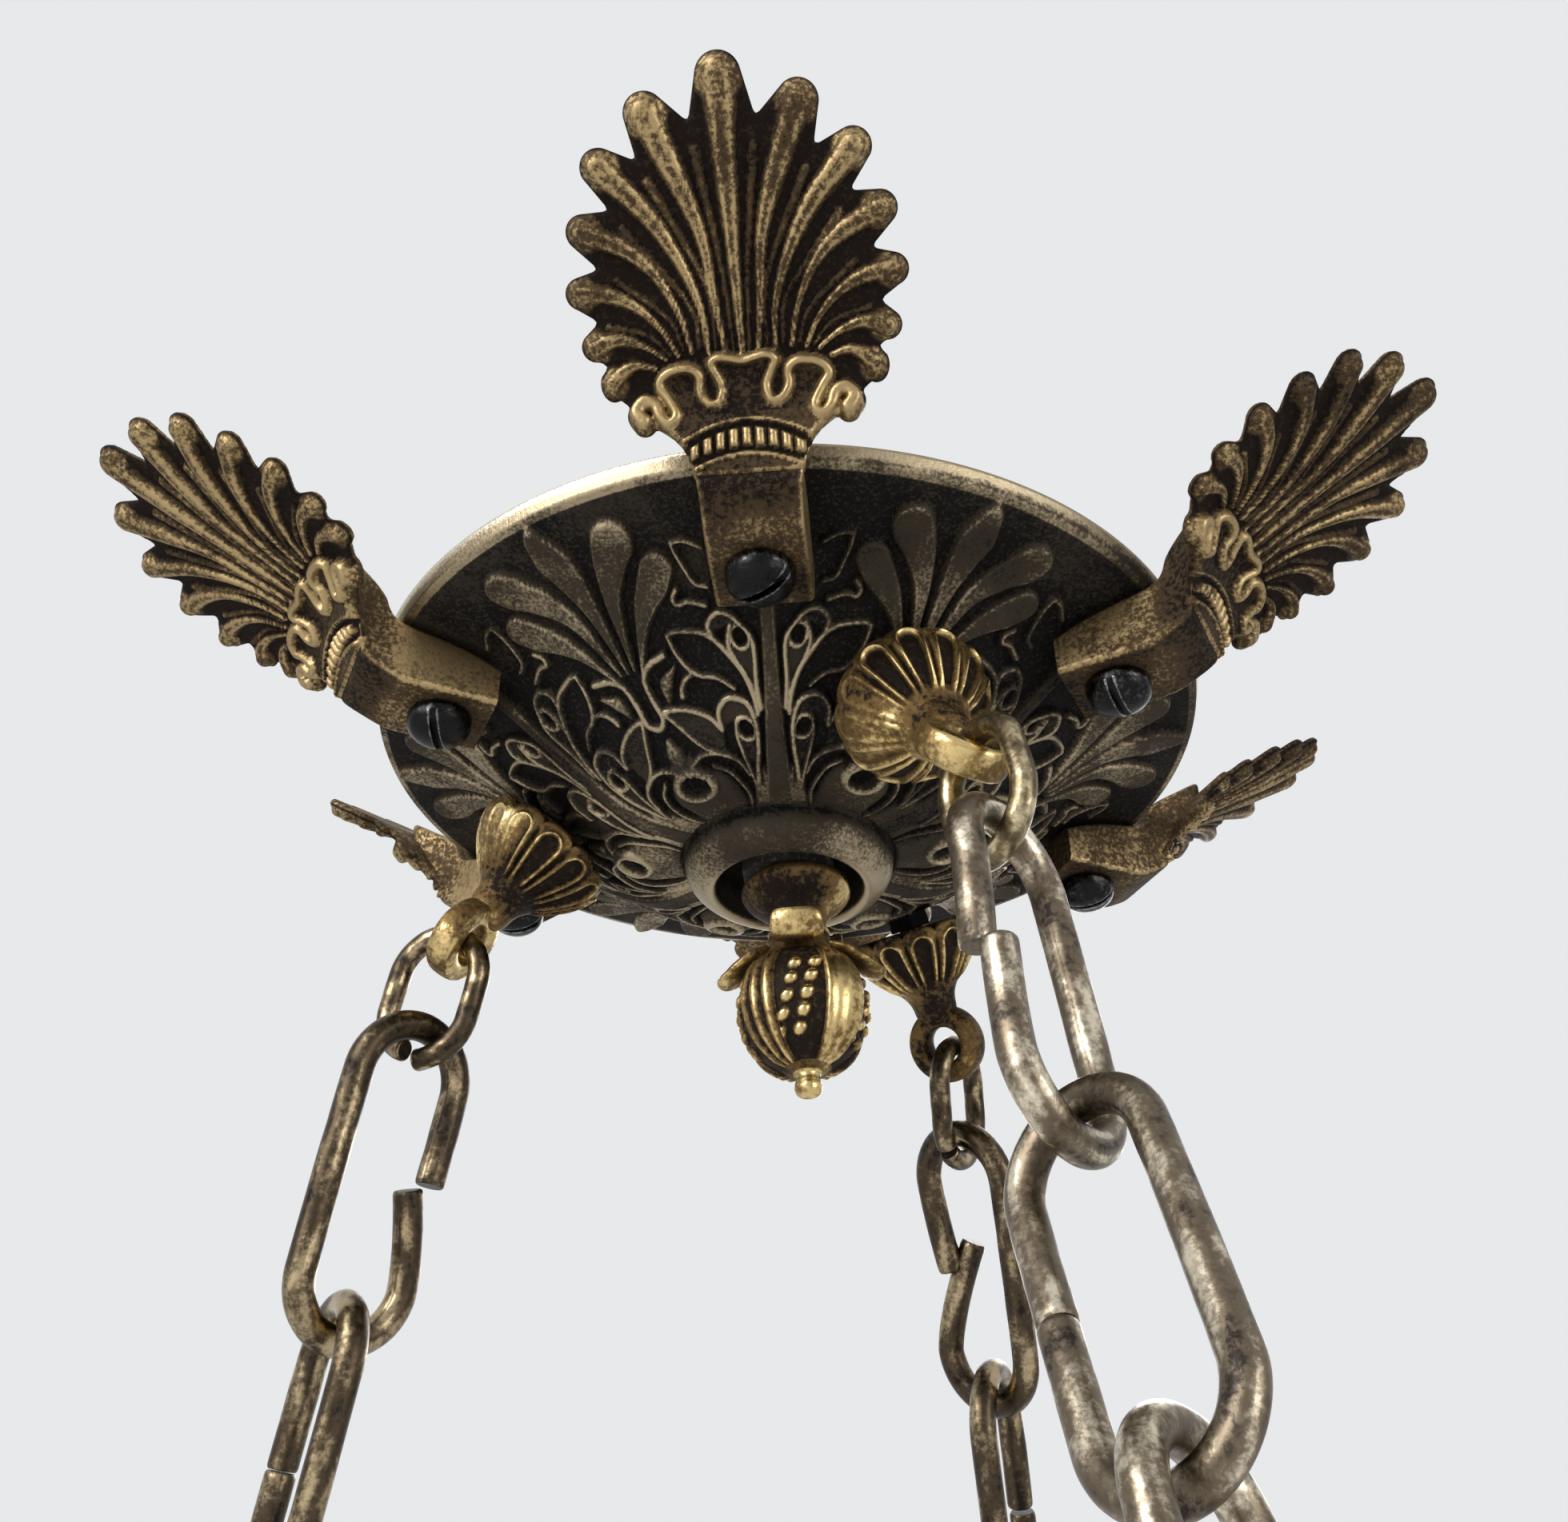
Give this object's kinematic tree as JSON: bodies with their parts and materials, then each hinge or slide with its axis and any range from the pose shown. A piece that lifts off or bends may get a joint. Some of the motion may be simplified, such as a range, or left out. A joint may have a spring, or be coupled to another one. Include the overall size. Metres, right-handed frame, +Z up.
{
  "type": "chandelier ceiling crown",
  "caption": "Cast brass ceiling crown of a candle chandelier: relief dish, palmette brackets, acorn finial, and fluted cups from which long-link chains hang.",
  "frame": {"origin": "the point inside the hanging loop that bears on a ceiling hook", "axes": "+Z up along the central rod; one palmette bracket points along -Y; a chain cup stands at azimuth 180 degrees"},
  "size_m": [0.2416, 0.2719, 0.2622],
  "materials": {
    "dish_bronze": "dark patinated cast brass",
    "bracket_brass": "antiqued cast brass, worn bright on its ridges",
    "gilded_brass": "polished brass with dark patina in its hollows",
    "chain_brass": "brown patinated brass wire, rubbed bright",
    "screw_steel": "blackened",
    "fitting_steel": "dull steel"
  },
  "bodies": {
    "crown": {"crown_dish": "dish_bronze", "palmette_bracket_1": "bracket_brass", "palmette_bracket_2": "bracket_brass", "palmette_bracket_3": "bracket_brass", "palmette_bracket_4": "bracket_brass", "palmette_bracket_5": "bracket_brass", "palmette_bracket_6": "bracket_brass", "bracket_screw_1": "screw_steel", "bracket_screw_2": "screw_steel", "bracket_screw_3": "screw_steel", "bracket_screw_4": "screw_steel", "bracket_screw_5": "screw_steel", "bracket_screw_6": "screw_steel", "bracket_nut_1": "fitting_steel", "bracket_nut_2": "fitting_steel", "bracket_nut_3": "fitting_steel", "bracket_nut_4": "fitting_steel", "bracket_nut_5": "fitting_steel", "bracket_nut_6": "fitting_steel", "chain_cup_1": "gilded_brass", "chain_cup_2": "gilded_brass", "chain_cup_3": "gilded_brass", "cup_stud_1": "fitting_steel", "cup_stud_2": "fitting_steel", "cup_stud_3": "fitting_steel", "cup_lock_nut_1": "fitting_steel", "cup_lock_nut_2": "fitting_steel", "cup_lock_nut_3": "fitting_steel", "cup_top_nut_1": "fitting_steel", "cup_top_nut_2": "fitting_steel", "cup_top_nut_3": "fitting_steel", "central_rod": "fitting_steel", "rod_lower_nut": "fitting_steel", "rod_washer": "fitting_steel", "rod_top_nut": "fitting_steel", "finial_neck": "gilded_brass", "finial_acorn": "gilded_brass", "hanging_loop": "bracket_brass"},
    "ring_1": {"split_ring_1": "chain_brass"},
    "link_1_1": {"chain_1_link_1": "chain_brass"},
    "link_1_2": {"chain_1_link_2": "chain_brass"},
    "link_1_3": {"chain_1_link_3": "chain_brass"},
    "ring_2": {"split_ring_2": "chain_brass"},
    "link_2_1": {"chain_2_link_1": "chain_brass"},
    "link_2_2": {"chain_2_link_2": "chain_brass"},
    "link_2_3": {"chain_2_link_3": "chain_brass"},
    "ring_3": {"split_ring_3": "chain_brass"},
    "link_3_1": {"chain_3_link_1": "chain_brass"},
    "link_3_2": {"chain_3_link_2": "chain_brass"},
    "link_3_3": {"chain_3_link_3": "chain_brass"}
  },
  "joints": [
    {"name": "ring_1_swing", "type": "hinge", "parent": "crown", "child": "ring_1", "pos_m": [0.03277, -0.05676, -0.09204], "axis": [-0.866, -0.5, 0], "range_deg": [-20, 30]},
    {"name": "link_1_1_swing", "type": "hinge", "parent": "ring_1", "child": "link_1_1", "pos_m": [0.03502, -0.06066, -0.11009], "axis": [-0.5298, 0.813, -0.2416], "range_deg": [-25, 25]},
    {"name": "link_1_2_swing", "type": "hinge", "parent": "link_1_1", "child": "link_1_2", "pos_m": [0.0401, -0.06774, -0.15922], "axis": [-0.6033, -0.7958, 0.0523], "range_deg": [-20, 25]},
    {"name": "link_1_3_swing", "type": "hinge", "parent": "link_1_2", "child": "link_1_3", "pos_m": [0.0453, -0.08774, -0.20398], "axis": [-0.7074, 0.611, -0.3554], "range_deg": [-25, 25]},
    {"name": "ring_2_swing", "type": "hinge", "parent": "crown", "child": "ring_2", "pos_m": [0.03131, 0.05423, -0.09403], "axis": [0.866, -0.5, 0], "range_deg": [-20, 30]},
    {"name": "link_2_1_swing", "type": "hinge", "parent": "ring_2", "child": "link_2_1", "pos_m": [0.03172, 0.06286, -0.1105], "axis": [-0.4532, -0.7849, -0.4226], "range_deg": [-25, 25]},
    {"name": "link_2_2_swing", "type": "hinge", "parent": "link_2_1", "child": "link_2_2", "pos_m": [0.03572, 0.08801, -0.15341], "axis": [0.6922, -0.6489, -0.316], "range_deg": [-20, 14]},
    {"name": "link_2_3_swing", "type": "hinge", "parent": "link_2_2", "child": "link_2_3", "pos_m": [0.03966, 0.11287, -0.1958], "axis": [-0.3084, -0.8078, -0.5023], "range_deg": [-25, 25]},
    {"name": "ring_3_swing", "type": "hinge", "parent": "crown", "child": "ring_3", "pos_m": [-0.06478, 0, -0.09261], "axis": [0, 1, 0], "range_deg": [-20, 30]},
    {"name": "link_3_1_swing", "type": "hinge", "parent": "ring_3", "child": "link_3_1", "pos_m": [-0.06883, 0.00275, -0.11055], "axis": [-0.9387, 0.2393, 0.2482], "range_deg": [-25, 25]},
    {"name": "link_3_2_swing", "type": "hinge", "parent": "link_3_1", "child": "link_3_2", "pos_m": [-0.07919, 0.01206, -0.15847], "axis": [0.6197, 0.7846, 0.0185], "range_deg": [-20, 25]},
    {"name": "link_3_3_swing", "type": "hinge", "parent": "link_3_2", "child": "link_3_3", "pos_m": [-0.08942, 0.02126, -0.20581], "axis": [-0.5567, 0.7846, 0.2729], "range_deg": [-25, 25]}
  ]
}
